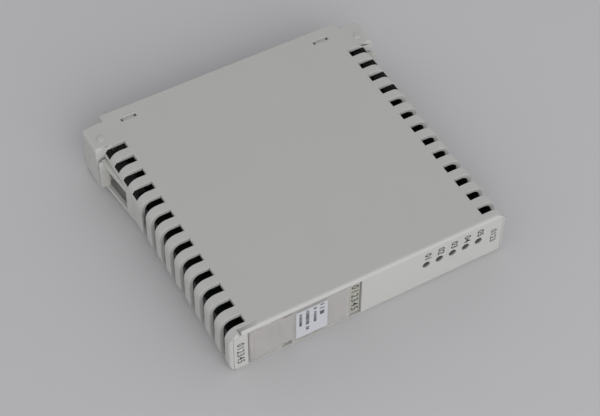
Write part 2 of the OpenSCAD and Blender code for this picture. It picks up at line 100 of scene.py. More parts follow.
def material(name, colour, roughness, grain=0.0, grain_size=0.3 * MM, tint=0.03, metallic=0.0,
             coat=0.0):
    """A finish with fine grain and faint clouds in its colour and gloss, on object coordinates."""
    finish = bpy.data.materials.new(name)
    finish.use_nodes = True
    nodes, links = finish.node_tree.nodes, finish.node_tree.links
    shader = nodes["Principled BSDF"]
    place = nodes.new("ShaderNodeTexCoord")
    cloud = nodes.new("ShaderNodeTexNoise")
    cloud.inputs["Scale"].default_value = 1 / CLOUD_SIZE
    cloud.inputs["Detail"].default_value = 4
    links.new(place.outputs["Object"], cloud.inputs["Vector"])
    shade = nodes.new("ShaderNodeMix")
    shade.data_type = "RGBA"
    shade.inputs[6].default_value = (*[c * (1 - tint) for c in colour], 1)
    shade.inputs[7].default_value = (*[min(1, c * (1 + tint)) for c in colour], 1)
    links.new(cloud.outputs["Fac"], shade.inputs[0])
    links.new(shade.outputs[2], shader.inputs["Base Color"])
    gloss = nodes.new("ShaderNodeMapRange")
    gloss.inputs["To Min"].default_value = max(0, roughness - GLOSS_SPREAD)
    gloss.inputs["To Max"].default_value = min(1, roughness + GLOSS_SPREAD)
    links.new(cloud.outputs["Fac"], gloss.inputs["Value"])
    links.new(gloss.outputs["Result"], shader.inputs["Roughness"])
    shader.inputs["Metallic"].default_value = metallic
    shader.inputs["Coat Weight"].default_value = coat
    if grain:
        fine = nodes.new("ShaderNodeTexNoise")
        fine.inputs["Scale"].default_value = 1 / grain_size
        fine.inputs["Detail"].default_value = 2
        links.new(place.outputs["Object"], fine.inputs["Vector"])
        bump = nodes.new("ShaderNodeBump")
        bump.inputs["Strength"].default_value = grain
        bump.inputs["Distance"].default_value = GRAIN_DEPTH
        links.new(fine.outputs["Fac"], bump.inputs["Height"])
        links.new(bump.outputs["Normal"], shader.inputs["Normal"])
    return finish


floor_mesh = bpy.data.meshes.new("floor")
half_floor = FLOOR_SIZE / 2
floor_mesh.from_pydata([(-half_floor, -half_floor, 0), (half_floor, -half_floor, 0),
                        (half_floor, half_floor, 0), (-half_floor, half_floor, 0)], [], [(0, 1, 2, 3)])
floor_mesh.materials.append(material("table_laminate", (0.475, 0.472, 0.48), 0.6, tint=0.01))
floor = bpy.data.objects.new("floor", floor_mesh)
bpy.context.scene.collection.objects.link(floor)

key_data = bpy.data.lights.new("key", "AREA")
key_data.shape = "DISK"
key_data.size = KEY_SIZE
key_data.energy = KEY_WATTS
key = bpy.data.objects.new("key", key_data)
key_way = Vector((math.sin(KEY_AZIMUTH), -math.cos(KEY_AZIMUTH), math.tan(KEY_ELEVATION))).normalized()
key.location = key_way * KEY_DISTANCE
key.rotation_euler = key_way.to_track_quat("Z", "Y").to_euler()
bpy.context.scene.collection.objects.link(key)

room = bpy.data.worlds.new("room")
room.use_nodes = True
nodes, links = room.node_tree.nodes, room.node_tree.links
sky_way = nodes.new("ShaderNodeTexCoord")
sky_height = nodes.new("ShaderNodeSeparateXYZ")
sky_level = nodes.new("ShaderNodeMapRange")
sky_level.inputs["From Min"].default_value = 0.0
sky_level.inputs["From Max"].default_value = 1.0
sky_level.inputs["To Min"].default_value = SKY_AT_TABLE
sky_level.inputs["To Max"].default_value = SKY_OVERHEAD
links.new(sky_way.outputs["Generated"], sky_height.inputs[0])
links.new(sky_height.outputs["Z"], sky_level.inputs["Value"])
links.new(sky_level.outputs["Result"], nodes["Background"].inputs["Strength"])
nodes["Background"].inputs["Color"].default_value = (0.985, 0.985, 1.0, 1)
bpy.context.scene.world = room

# --- Casing shells ------------------------------------------------------------------------------
# Two halves, injection-moulded in off-white ABS with a fine spark-eroded skin, that close on each other
# at the middle. Their inside faces are painted black as painted shade, for the dark seen through the
# vent slots; the walls of the vent slots stay off-white through the thickness of the casing.
PARTS = frame["nodes"]
BODY_OF = {name: node["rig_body"] for name, node in PARTS.items()}
panel_low, panel_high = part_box("front_panel")
latch_low, latch_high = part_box("latch_right")
SIDE_X = panel_high.x
THICK = panel_high.z
MID_Z = THICK / 2
FRONT_Y = panel_low.y
REAR_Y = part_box("base_shell")[1].y

# Each ear's length, and how far it ends before the rear edge.
EAR_L, EAR_BACK = 10.6 * MM, 2.5 * MM
EAR_FRONT_Y = REAR_Y - EAR_BACK - EAR_L

# The panel's rim, the casing's wall, the radius of its long edges, and how near to its surface a point
# counts as on it.
RIM_T, WALL, EDGE_R, SKIN = 2.3 * MM, 1.5 * MM, 4.2 * MM, 0.15 * MM

# An edge that turns more than SHARP is rounded, and flats larger than LARGE_FLAT are shaded flat.
SHARP, SAME_FLAT = math.radians(30), math.radians(0.5)
LARGE_FLAT = 60 * MM * MM
SAME_POINT, SAME_DRAWN_POINT = 0.002 * MM, 0.0005 * MM


def depth_below_skin(p):
    """How far a point lies inside the casing's round-edged outline, across X and Z."""
    dx, dz = abs(p.x) - (SIDE_X - EDGE_R), abs(p.z - MID_Z) - (MID_Z - EDGE_R)
    outside = math.hypot(max(dx, 0), max(dz, 0)) + min(max(dx, dz), 0)
    return EDGE_R - outside


def applied(piece, kind, **settings):
    """Finishes a piece's mesh with one modifier, and takes the modifier off."""
    modifier = piece.modifiers.new(kind.lower(), kind)
    for name, value in settings.items():
        setattr(modifier, name, value)
    done = bpy.data.meshes.new_from_object(piece.evaluated_get(bpy.context.evaluated_depsgraph_get()))
    piece.modifiers.clear()
    piece.data = done
    return piece


def linked(name, mesh):
    piece = bpy.data.objects.new(name, mesh)
    bpy.context.scene.collection.objects.link(piece)
    return piece


def moulded_copy(node, radius, softness=lambda a, b: 1.0, segments=2, convex_only=False, trim=None):
    """A CAD node's shape with its flats joined and its edges rounded, each by the radius times its
    softness. If trim is given, it puts each corner right, before the shading is settled."""
    mesh = bpy.data.meshes.new(node + "_made")
    bm = bmesh.new()
    bm.from_mesh(PARTS[node].data)
    bmesh.ops.remove_doubles(bm, verts=bm.verts, dist=SAME_POINT)
    bmesh.ops.dissolve_limit(bm, angle_limit=SAME_FLAT, verts=bm.verts, edges=bm.edges)
    weight = bm.edges.layers.float.new("bevel_weight_edge")
    for e in bm.edges:
        if len(e.link_faces) == 2 and e.calc_face_angle() > SHARP and (e.is_convex or not convex_only):
            e[weight] = softness(e.verts[0].co, e.verts[1].co)
    bm.to_mesh(mesh)
    bm.free()
    mesh.materials.clear()
    piece = linked(node + "_made", mesh)
    applied(piece, "BEVEL", width=radius, segments=segments, limit_method="WEIGHT",
            use_clamp_overlap=False)
    if trim:
        for v in piece.data.vertices:
            trim(v.co)
    return shaded(piece)


def shaded(piece, angle=28):
    """Smooth shading that stays flat on the flats."""
    for p in piece.data.polygons:
        p.use_smooth = p.area < LARGE_FLAT
    piece.data.set_sharp_from_angle(angle=math.radians(angle))
    return applied(piece, "WEIGHTED_NORMAL", keep_sharp=True, weight=100)


def stand_for(piece, node):
    """Shows a piece in a CAD node's place, on the node's own body."""
    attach(piece, BODY_OF[node])
    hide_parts(node)


casing_plastic = material("casing_plastic", (0.405, 0.403, 0.39), 0.55, grain=0.35, tint=0.02)
# Black for the inside faces: painted shade, standing in for the dark seen through the vent slots.
painted_shade_coat = material("painted_shade_coat", (0.004, 0.004, 0.0045), 0.95)

# How round an edge is, as a multiple of its part's radius: on the ears, where the two halves meet, and
# where the panel meets the casing.
EAR_SOFTNESS, PARTING_SOFTNESS, JOINT_SOFTNESS = 5.0, 0.4, 0.12
EAR_ROUND_X = SIDE_X + 1.4 * MM
PARTING_DEPTH = 2 * MM


def shell_softness(a, b):
    """Round on the ears and the outside, nearly sharp at the joints, and left sharp on the inside."""
    mid = (a + b) / 2
    if mid.y > EAR_FRONT_Y - SKIN and abs(mid.x) > EAR_ROUND_X:
        return EAR_SOFTNESS
    if abs(mid.z - MID_Z) < SKIN:
        return PARTING_SOFTNESS if depth_below_skin(mid) < PARTING_DEPTH else 0.0
    if mid.y < FRONT_Y + RIM_T + SKIN:
        return JOINT_SOFTNESS
    on_rear = mid.y > REAR_Y - EAR_BACK - SKIN
    return 1.0 if depth_below_skin(mid) < SKIN or on_rear else 0.0


# The room of the latch pockets, and the part of the casing above them, measured from the latch's box.
POCKET_DEPTH = 3.7 * MM
POCKET_BEFORE, POCKET_BEHIND = 0.5 * MM, 1.2 * MM
ABOVE_DEPTH = 8 * MM
ABOVE_BEFORE, ABOVE_BEHIND = 6 * MM, 1 * MM

# The clip windows: how far their middle is from the rear, half their width, and their walls' depth.
CLIP_FROM_REAR, CLIP_HALF, CLIP_DEPTH = 4.9 * MM, 1.2 * MM, 1.6 * MM

# The rounding is trimmed this near to the ears' front, and the rear end has no painted shade from this
# far before the ears' back.
EAR_START, REAR_LAND = 1 * MM, 1 * MM


def in_latch_pocket(p):
    """Points inside the pocket or on its own walls, but not on the inner side of those."""
    return (abs(p.x) > SIDE_X - POCKET_DEPTH and latch_low.z < p.z < latch_high.z
            and latch_low.y - POCKET_BEFORE < p.y < latch_high.y + POCKET_BEHIND)


def above_pocket(p):
    """Points of the casing between a latch pocket and the broad face, and a little around."""
    return (p.z > latch_high.z and abs(p.x) > SIDE_X - ABOVE_DEPTH
            and latch_low.y - ABOVE_BEFORE < p.y < latch_high.y + ABOVE_BEHIND)


def in_clip_window(p):
    return abs(p.y - REAR_Y + CLIP_FROM_REAR) < CLIP_HALF and depth_below_skin(p) < CLIP_DEPTH


def within_broad_faces(place):
    """Keeps the rounding where the ears begin from rising above the broad faces."""
    if abs(place.y - EAR_FRONT_Y) < EAR_START:
        place.z = min(max(place.z, 0), THICK)


def split_deep_walls(mesh):
    """Cuts the slots' walls above the latch pockets where they get deeper than the casing's wall."""
    bm = bmesh.new()
    bm.from_mesh(mesh)
    walls = [f for f in bm.faces if abs(f.normal.y) > 0.9 and above_pocket(f.calc_center_median())]
    edges = {e for f in walls for e in f.edges}
    corners = {v for f in walls for v in f.verts}
    around = walls + list(edges) + list(corners)
    bmesh.ops.bisect_plane(bm, geom=around, dist=0.001 * MM, plane_co=(0, 0, THICK - WALL),
                           plane_no=(0, 0, 1))
    bm.to_mesh(mesh)
    bm.free()


def gets_painted_shade(shell, p):
    """Whether a face is on the inside and gets the black painted shade: deeper than the wall, and not
    one that cuts through the skin.
    """
    if above_pocket(p.center) and p.center.z < THICK - WALL:
        return depth_below_skin(p.center) > 0.6 * WALL
    on_rear = p.center.y > REAR_Y - EAR_BACK - REAR_LAND
    if on_rear or in_latch_pocket(p.center) or in_clip_window(p.center):
        return False
    nearest = min(depth_below_skin(shell.vertices[v].co) for v in p.vertices)
    cuts_skin = abs(p.normal.z) < 0.9 and nearest < 2 * SKIN
    return depth_below_skin(p.center) > WALL - SKIN and not cuts_skin


for node in ("cover_shell", "base_shell"):
    shell = moulded_copy(node, 0.18 * MM, shell_softness, trim=within_broad_faces)
    shell.data.materials.append(casing_plastic)
    shell.data.materials.append(painted_shade_coat)
    if node == "cover_shell":
        split_deep_walls(shell.data)
    # Faces on the inside get the black painted shade.
    for p in shell.data.polygons:
        p.material_index = int(gets_painted_shade(shell.data, p))
    stand_for(shell, node)

# --- Front panel --------------------------------------------------------------------------------
# The same off-white plastic, pressed between the shells. It has a recess for the label flap, a round
# hole for each status light, and a small ramp beside the flap's hinge.
INK = 0.03 * MM
flap_low, flap_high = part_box("label_flap")
RAMP_X0 = flap_low.x - 4.5 * MM
RAMP_X1 = RAMP_X0 + 7.6 * MM
RAMP_DEPTH = 1.3 * MM
TOP_EDGE = 2 * MM
TOP_EDGE_SOFTNESS = 0.4


def panel_softness(a, b):
    mid = (a + b) / 2
    if RAMP_X0 < mid.x < RAMP_X1 and mid.z > THICK - RAMP_DEPTH:
        return 0.0
    if mid.z > flap_high.z - TOP_EDGE and mid.y < FRONT_Y + SKIN:
        return TOP_EDGE_SOFTNESS
    if mid.y > FRONT_Y + RIM_T - SKIN:
        return JOINT_SOFTNESS
    return 1.0


panel_face = FRONT_Y + INK


def set_back(place):
    """Leaves room for the print in front of a piece."""
    place.y = max(place.y, panel_face)


panel = moulded_copy("front_panel", 0.14 * MM, panel_softness, convex_only=True, trim=set_back)
panel.data.materials.append(casing_plastic)
panel.data.materials.append(painted_shade_coat)
# Faces behind the rim get the black painted shade, as the shells' inside does.
for p in panel.data.polygons:
    if p.center.y > FRONT_Y + RIM_T + SKIN:
        p.material_index = 1
stand_for(panel, "front_panel")

# --- Status lights ------------------------------------------------------------------------------
# Five smoked lenses, each a light pipe with a shallow dome that ends just behind the panel's face. They
# stand in one black holder on the board.
smoked_lens = material("smoked_lens", (0.012, 0.012, 0.008), 0.18, coat=0.6)


def turned(name, profile, steps=48):
    """A solid of revolution about Z from (radius, height) points that start and end on the axis."""
    mesh = bpy.data.meshes.new(name)
    bm = bmesh.new()
    chain = [bm.verts.new((r, 0, z)) for r, z in profile]
    edges = [bm.edges.new(pair) for pair in zip(chain, chain[1:])]
    bmesh.ops.spin(bm, geom=chain + edges, axis=(0, 0, 1), cent=(0, 0, 0), angle=math.tau, steps=steps)
    bmesh.ops.remove_doubles(bm, verts=bm.verts, dist=SAME_DRAWN_POINT)
    bmesh.ops.recalc_face_normals(bm, faces=bm.faces)
    bm.to_mesh(mesh)
    bm.free()
    return mesh


DOME_SINK = 0.3 * MM
for number in range(1, 6):
    node = f"status_light_{number}"
    low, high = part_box(node)
    radius, length = (high.x - low.x) / 2, high.y - low.y
    dome = [(radius * math.cos(math.radians(t)), length - DOME_SINK * (1 - math.sin(math.radians(t))))
            for t in range(0, 90, 15)] + [(0, length)]
    mesh = turned(node + "_made", [(0, 0), (radius, 0)] + dome)
    mesh.transform(Matrix.Translation(((low.x + high.x) / 2, high.y, (low.z + high.z) / 2))
                   @ Matrix.Rotation(math.radians(90), 4, "X"))
    lens = shaded(linked(node + "_made", mesh), 40)
    lens.data.materials.append(smoked_lens)
    stand_for(lens, node)

black_moulding = material("black_moulding", (0.018, 0.018, 0.02), 0.5, grain=0.4)
holder = moulded_copy("light_holder", 0.2 * MM)
holder.data.materials.append(black_moulding)
stand_for(holder, "light_holder")

# --- Print on the front -------------------------------------------------------------------------
# Pad-printed dark grey figures that read downwards: a number above each light, and plain counting
# figures at both ends.
print_ink = material("print_ink", (0.03, 0.03, 0.03), 0.6)


def printed(name, words, size, x, z, face_y, narrow=1.0, bold=0.0, spaced=1.0):
    """Figures as a thin layer of ink in front of face_y, centred at x, z."""
    curve = bpy.data.curves.new(name, "FONT")
    curve.body = words
    curve.size = size
    curve.extrude = INK * 0.45
    curve.offset = bold
    curve.space_character = spaced
    curve.align_x, curve.align_y = "CENTER", "CENTER"
    curve.resolution_u = 3
    drawn = linked(name + "_curve", curve)
    mesh = bpy.data.meshes.new_from_object(drawn.evaluated_get(bpy.context.evaluated_depsgraph_get()))
    bpy.data.objects.remove(drawn)
    reading = Matrix(((0, 1, 0, x), (0, 0, -1, face_y - INK * 0.5), (-1, 0, 0, z), (0, 0, 0, 1)))
    mesh.transform(reading @ Matrix.Diagonal((narrow, 1, 1, 1)))
    bm = bmesh.new()
    bm.from_mesh(mesh)
    bmesh.ops.remove_doubles(bm, verts=bm.verts, dist=SAME_DRAWN_POINT)
    bm.to_mesh(mesh)
    bm.free()
    mesh.materials.clear()
    mesh.materials.append(print_ink)
    figures = linked(name, mesh)
    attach(figures, "casing")
    return figures


LIGHT_NUMBER = dict(size=3.2 * MM, bold=0.05 * MM, z=13.75 * MM)
LIGHT_NUMBER_SHIFT = 0.3 * MM
SHORT_CODE = dict(size=3.0 * MM, bold=0.02 * MM)
LONG_CODE = dict(size=3.4 * MM, bold=0.04 * MM, spaced=1.25)
RIGHT_END_X, RIGHT_END_Z = 43.9 * MM, 9.6 * MM
LEFT_END_X, LEFT_END_Z = -44.9 * MM, 8.2 * MM
for number in range(1, 6):
    low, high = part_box(f"status_light_{number}")
    printed(f"light_number_{number}", f"0{number}", x=(low.x + high.x) / 2 + LIGHT_NUMBER_SHIFT,
            face_y=panel_face, **LIGHT_NUMBER)
printed("end_code_right", "0123", x=RIGHT_END_X, z=RIGHT_END_Z, face_y=panel_face, **SHORT_CODE)
printed("end_code_left", "012345", x=LEFT_END_X, z=LEFT_END_Z, face_y=panel_face, narrow=0.8,
        **LONG_CODE)

# --- Label flap, its sticker, card and strip ----------------------------------------------------
# The flap is a clear, lightly frosted moulding on two short pins. A white film sticker is on its face,
# and a printed card lies behind it. A grey plate on the recess floor, beside the flap, has the same
# figures as the left end; its colour is darkened to olive as painted shade of the recess walls.
frosted = material("frosted_flap", (0.80, 0.78, 0.76), 0.15, grain=0.1, tint=0.015)
frosted_shader = frosted.node_tree.nodes["Principled BSDF"]
frosted_shader.inputs["Transmission Weight"].default_value = 0.72
frosted_shader.inputs["IOR"].default_value = 1.49
flap = moulded_copy("label_flap", 0.12 * MM, convex_only=True)
flap.data.materials.append(frosted)
stand_for(flap, "label_flap")

label_film = material("label_film", (0.44, 0.445, 0.475), 0.45, tint=0.01)
printed_card = material("printed_card", (0.42, 0.415, 0.395), 0.7, grain=0.2, tint=0.02)
# The strip's grey is darkened to olive: painted shade of the recess around it.
shaded_strip_card = material("shaded_strip_card", (0.33, 0.33, 0.29), 0.6, grain=0.2, tint=0.03)
CARD_SLOTS = {"rating_label": (label_film, "label_paper"), "tag_card": (printed_card, "card"),
              "type_strip": (shaded_strip_card, "card")}
for node, (finish, slot) in CARD_SLOTS.items():
    sheet = moulded_copy(node, 0.03 * MM, segments=1, trim=set_back)
    sheet.data.materials.append(finish)
    stand_for(sheet, node)


def repeat_tree():
    """Repeats a shape in rows, with some left out at random and some shorter if asked."""
    tree = bpy.data.node_groups.new("repeat_in_rows", "GeometryNodeTree")
    sockets = (("Shape", "Geometry"), ("Start", "Vector"), ("Count", "Int"), ("Step", "Vector"),
               ("Rows", "Int"), ("Row step", "Vector"), ("Row turn", "Float"), ("Kept", "Float"),
               ("Shortest", "Vector"), ("Seed", "Int"), ("Finish", "Material"))
    for label, kind in sockets:
        tree.interface.new_socket(label, in_out="INPUT", socket_type="NodeSocket" + kind)
    tree.interface.new_socket("Shape", in_out="OUTPUT", socket_type="NodeSocketGeometry")
    nodes, links = tree.nodes, tree.links
    given, result = nodes.new("NodeGroupInput"), nodes.new("NodeGroupOutput")

    def maths(kind, a, b, operation):
        node = nodes.new(kind)
        node.operation = operation
        for socket, value in zip(node.inputs, (a, b)):
            if value is not None:
                links.new(value, socket)
        return node

    index = nodes.new("GeometryNodeInputIndex").outputs[0]
    total = maths("ShaderNodeMath", given.outputs["Count"], given.outputs["Rows"], "MULTIPLY")
    along = maths("ShaderNodeMath", index, given.outputs["Count"], "FLOORED_MODULO")
    row = maths("ShaderNodeMath", index, given.outputs["Count"], "DIVIDE")
    row = maths("ShaderNodeMath", row.outputs[0], None, "FLOOR")
    step = nodes.new("ShaderNodeVectorMath")
    step.operation = "SCALE"
    links.new(given.outputs["Step"], step.inputs[0])
    links.new(along.outputs[0], step.inputs["Scale"])
    row_step = nodes.new("ShaderNodeVectorMath")
    row_step.operation = "SCALE"
    links.new(given.outputs["Row step"], row_step.inputs[0])
    links.new(row.outputs[0], row_step.inputs["Scale"])
    place = maths("ShaderNodeVectorMath", step.outputs[0], row_step.outputs[0], "ADD")
    place = maths("ShaderNodeVectorMath", place.outputs[0], given.outputs["Start"], "ADD")
    points = nodes.new("GeometryNodePoints")
    links.new(total.outputs[0], points.inputs["Count"])
    links.new(place.outputs[0], points.inputs["Position"])

    turn = maths("ShaderNodeMath", row.outputs[0], given.outputs["Row turn"], "MULTIPLY")
    turn_vector = nodes.new("ShaderNodeCombineXYZ")
    links.new(turn.outputs[0], turn_vector.inputs["Z"])
    rotation = nodes.new("FunctionNodeEulerToRotation")
    links.new(turn_vector.outputs[0], rotation.inputs[0])
    keep = nodes.new("FunctionNodeRandomValue")
    keep.data_type = "BOOLEAN"
    links.new(given.outputs["Kept"], keep.inputs["Probability"])
    links.new(given.outputs["Seed"], keep.inputs["Seed"])
    size = nodes.new("FunctionNodeRandomValue")
    size.data_type = "FLOAT_VECTOR"
    links.new(given.outputs["Shortest"], size.inputs[0])
    links.new(given.outputs["Seed"], size.inputs["Seed"])
    size.inputs[1].default_value = (1, 1, 1)
    put = nodes.new("GeometryNodeInstanceOnPoints")
    links.new(points.outputs[0], put.inputs["Points"])
    links.new(given.outputs["Shape"], put.inputs["Instance"])
    links.new(keep.outputs[3], put.inputs["Selection"])
    links.new(rotation.outputs[0], put.inputs["Rotation"])
    links.new(size.outputs[0], put.inputs["Scale"])
    real = nodes.new("GeometryNodeRealizeInstances")
    links.new(put.outputs[0], real.inputs[0])
    finish = nodes.new("GeometryNodeSetMaterial")
    links.new(real.outputs[0], finish.inputs["Geometry"])
    links.new(given.outputs["Finish"], finish.inputs["Material"])
    links.new(finish.outputs[0], result.inputs[0])
    return tree


REPEAT = repeat_tree()
REPEAT_DEFAULTS = {"Start": (0, 0, 0), "Count": 1, "Step": (0, 0, 0), "Rows": 1, "Row step": (0, 0, 0),
                   "Row turn": 0.0, "Kept": 1.0, "Shortest": (1, 1, 1), "Seed": 1}


def repeated(name, shape, finish, **inputs):
    """A plain mesh of the shape repeated by the tree, from inputs given by their names."""
    piece = linked(name, shape)
    modifier = piece.modifiers.new("rows", "NODES")
    modifier.node_group = REPEAT
    values = {**REPEAT_DEFAULTS, **inputs, "Finish": finish}
    for socket in REPEAT.interface.items_tree:
        if socket.in_out == "INPUT" and socket.name in values:
            modifier[socket.identifier] = values[socket.name]
    done = bpy.data.meshes.new_from_object(piece.evaluated_get(bpy.context.evaluated_depsgraph_get()))
    piece.modifiers.clear()
    piece.data = done
    return piece


def block(name, w, d, h, soft=0.0):
    """A small block centred on the origin, with its edges taken off if soft is given."""
    mesh = bpy.data.meshes.new(name)
    bm = bmesh.new()
    bmesh.ops.create_cube(bm, size=1)
    bmesh.ops.scale(bm, vec=(w, d, h), verts=bm.verts)
    if soft:
        bmesh.ops.bevel(bm, geom=bm.edges, offset=soft, segments=2, affect="EDGES", profile=0.5)
    bm.to_mesh(mesh)
    bm.free()
    return mesh


# A line of small print: its place across the label, its top end, the number of its strokes, and their
# height in millimetres. A line is one stroke after the other, a step apart.
STROKE_T, LABEL_STROKE, LABEL_STEP = INK * 0.9, 0.78 * MM, 0.88 * MM
label_low, label_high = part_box("rating_label")
LABEL_LINES = ((0.14, 0.88, 8, 1.1), (0.36, 0.92, 11, 1.35), (0.60, 0.90, 9, 1.1), (0.82, 0.94, 6, 1.6))
for number, (part, top, strokes, height) in enumerate(LABEL_LINES, 1):
    start = (label_low.x + part * (label_high.x - label_low.x), FRONT_Y + INK * 0.5,
             label_low.z + top * (label_high.z - label_low.z))
    line = repeated(f"label_print_{number}", block("stroke", height * MM, STROKE_T, LABEL_STROKE),
                    print_ink, Start=start, Count=strokes, Step=(0, 0, -LABEL_STEP), Kept=0.88,
                    Shortest=(0.7, 1, 0.5), Seed=number + 3)
    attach(line, "flap")

faint_ink = material("faint_ink", (0.05, 0.05, 0.05), 0.7)
CARD_LINES = (-34.2 * MM, -31.2 * MM)
CARD_STROKE, CARD_STEP, CARD_MARGIN = 0.75 * MM, 0.85 * MM, 1.8 * MM
card_low, card_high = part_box("tag_card")
for number, x in enumerate(CARD_LINES, 1):
    line = repeated(f"card_print_{number}", block("stroke", 2.0 * MM, STROKE_T, CARD_STROKE), faint_ink,
                    Start=(x, card_low.y - INK * 0.5, card_high.z - CARD_MARGIN), Count=11,
                    Step=(0, 0, -CARD_STEP), Kept=0.85, Shortest=(0.7, 1, 0.5), Seed=number + 20)
    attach(line, "casing")

STRIP_CODE_IN = 1.5 * MM
strip_low, strip_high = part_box("type_strip")
printed("strip_code", "012345", x=strip_low.x + STRIP_CODE_IN, z=(strip_low.z + strip_high.z) / 2,
        face_y=strip_low.y, **LONG_CODE)

# --- Release latches ----------------------------------------------------------------------------
# One open frame on each side, moulded in a slightly smoother off-white plastic, on two stubs at its
# front end. It leans out towards the rear, where its catch has a flat face to the front and a ramp
# behind.
latch_plastic = material("latch_plastic", (0.43, 0.428, 0.405), 0.45, grain=0.2)
for node in ("latch_left", "latch_right"):
    latch = moulded_copy(node, 0.16 * MM, segments=3, convex_only=True)
    latch.data.materials.append(latch_plastic)
    stand_for(latch, node)

# --- Rear carrier, plug, contacts and guide pins ------------------------------------------------
# An off-white closing plate with four snap tongues holds a black glass-filled plug, in which stamped
# and gilded blades stand in two rows. A turned steel pin with a chamfered nose is pressed in on each
# side.
carrier = moulded_copy("rear_carrier", 0.14 * MM, convex_only=True)
carrier.data.materials.append(casing_plastic)
stand_for(carrier, "rear_carrier")

plug = moulded_copy("rear_plug", 0.1 * MM, convex_only=True)
plug.data.materials.append(black_moulding)
stand_for(plug, "rear_plug")


def solids_of(node):
    """Lowest and highest corners of each separate solid in a CAD node, in order along X, Y and Z."""
    bm = bmesh.new()
    bm.from_mesh(PARTS[node].data)
    bmesh.ops.remove_doubles(bm, verts=bm.verts, dist=SAME_POINT)
    waiting, found = set(bm.verts), []
    while waiting:
        grown, reached = [], [waiting.pop()]
        while reached:
            v = reached.pop()
            grown.append(v.co.copy())
            near = [e.other_vert(v) for e in v.link_edges]
            reached += [n for n in near if n in waiting]
            waiting.difference_update(near)
        found.append((Vector(min(c[i] for c in grown) for i in range(3)),
                      Vector(max(c[i] for c in grown) for i in range(3))))
    bm.free()
    return sorted(found, key=lambda ends: tuple(round(c / MM, 1) for c in ends[0]))


def joined(name, pieces):
    """One piece from several, with their finishes kept."""
    mesh = bpy.data.meshes.new(name)
    bm = bmesh.new()
    for piece in pieces:
        first = len(mesh.materials)
        for finish in piece.data.materials:
            mesh.materials.append(finish)
        before = len(bm.faces)
        bm.from_mesh(piece.data)
        bm.faces.ensure_lookup_table()
        for face in bm.faces[before:]:
            face.material_index += first
        bpy.data.objects.remove(piece)
    bm.to_mesh(mesh)
    bm.free()
    return linked(name, mesh)


gold = material("gold_plate", (0.80, 0.56, 0.22), 0.28, metallic=1.0, tint=0.05)
LONGEST_TAIL = 5 * MM
contact_solids = solids_of("plug_contacts")
blades = [s for s in contact_solids if s[1].y - s[0].y > LONGEST_TAIL]
tails = [s for s in contact_solids if s[1].y - s[0].y <= LONGEST_TAIL]


def contact_row(name, solids, soft, rows=1, row_step=(0, 0, 0)):
    low, high = solids[0]
    columns = sorted({round(s[0].x, 6) for s in solids})
    size = high - low
    return repeated(name, block(name, size.x, size.y, size.z, soft), gold,
                    Start=tuple((low + high) / 2), Count=len(columns),
                    Step=(columns[1] - columns[0], 0, 0), Rows=rows, **{"Row step": row_step})


lower, upper = blades[0], blades[1]
contacts = joined("plug_contacts_made", [
    contact_row("blades", blades, 0.14 * MM, rows=2, row_step=(0, 0, upper[0].z - lower[0].z)),
    contact_row("tails", tails, 0.08 * MM)])
stand_for(shaded(contacts, 40), "plug_contacts")

bright_steel = material("bright_steel", (0.62, 0.62, 0.62), 0.25, metallic=1.0, grain=0.1,
                        grain_size=0.15 * MM)
pins = moulded_copy("guide_pins", 0.12 * MM, convex_only=True)
pins.data.materials.append(bright_steel)
stand_for(pins, "guide_pins")

# --- Circuit board ------------------------------------------------------------------------------
# Green FR4 with tracks under the solder mask, and four pan-head screws with a cross recess.
TRACK_PITCH, TRACK_RISE = 4 * MM, 0.04 * MM
solder_mask = material("solder_mask", (0.004, 0.012, 0.006), 0.4, coat=0.2)
nodes, links = solder_mask.node_tree.nodes, solder_mask.node_tree.links
tracks = nodes.new("ShaderNodeTexBrick")
tracks.inputs["Scale"].default_value = 1 / TRACK_PITCH
tracks.inputs["Mortar Size"].default_value = 0.05
tracks.inputs["Color1"].default_value = (0.0, 0.0, 0.0, 1)
tracks.inputs["Color2"].default_value = (0.0, 0.0, 0.0, 1)
tracks.inputs["Mortar"].default_value = (1, 1, 1, 1)
where = nodes.new("ShaderNodeTexCoord")
links.new(where.outputs["Object"], tracks.inputs["Vector"])
relief = nodes.new("ShaderNodeBump")
relief.inputs["Distance"].default_value = TRACK_RISE
links.new(tracks.outputs["Color"], relief.inputs["Height"])
links.new(relief.outputs["Normal"], nodes["Principled BSDF"].inputs["Normal"])
board = moulded_copy("main_board", 0.05 * MM, segments=1)
board.data.materials.append(solder_mask)
stand_for(board, "main_board")

screw_solids = solids_of("board_screws")
low, high = screw_solids[0]
head_r = (high.x - low.x) / 2
SCREW_HEAD_H, SHANK_R = 1.2 * MM, 0.95 * MM
CROSS_L, CROSS_W, CROSS_H = 2.0 * MM, 0.42 * MM, 1.3 * MM
head_z = high.z - low.z - SCREW_HEAD_H
screw = linked("screw", turned("screw", [
    (0, 0), (SHANK_R, 0), (SHANK_R, head_z), (head_r, head_z), (head_r, head_z + 0.45 * MM),
    (head_r * 0.93, head_z + 0.8 * MM), (head_r * 0.7, head_z + 1.08 * MM),
    (head_r * 0.35, head_z + SCREW_HEAD_H), (0, head_z + SCREW_HEAD_H)], 32))
for turn in (0, 90):
    cutter = linked("cutter", block("cutter", CROSS_L, CROSS_W, CROSS_H))
    cutter.data.transform(Matrix.Translation((0, 0, head_z + SCREW_HEAD_H))
                          @ Matrix.Rotation(math.radians(turn), 4, "Z"))
    applied(screw, "BOOLEAN", operation="DIFFERENCE", object=cutter)
    bpy.data.objects.remove(cutter)
centres = [(s[0] + s[1]) / 2 for s in screw_solids]
screws = repeated("board_screws_made", screw.data, bright_steel,
                  Start=(centres[0].x, centres[0].y, low.z), Count=2,
                  Step=(2 * abs(centres[0].x), 0, 0), Rows=2,
                  **{"Row step": (0, abs(centres[1].y - centres[0].y), 0)})
bpy.data.objects.remove(screw)
stand_for(shaded(screws, 35), "board_screws")

# The slot screens are black strips that stand along the board's edges: painted shade that keeps the
# vent slots dark.
shade_screens = moulded_copy("slot_screens", 0.05 * MM, segments=1)
shade_screens.data.materials.append(black_moulding)
stand_for(shade_screens, "slot_screens")

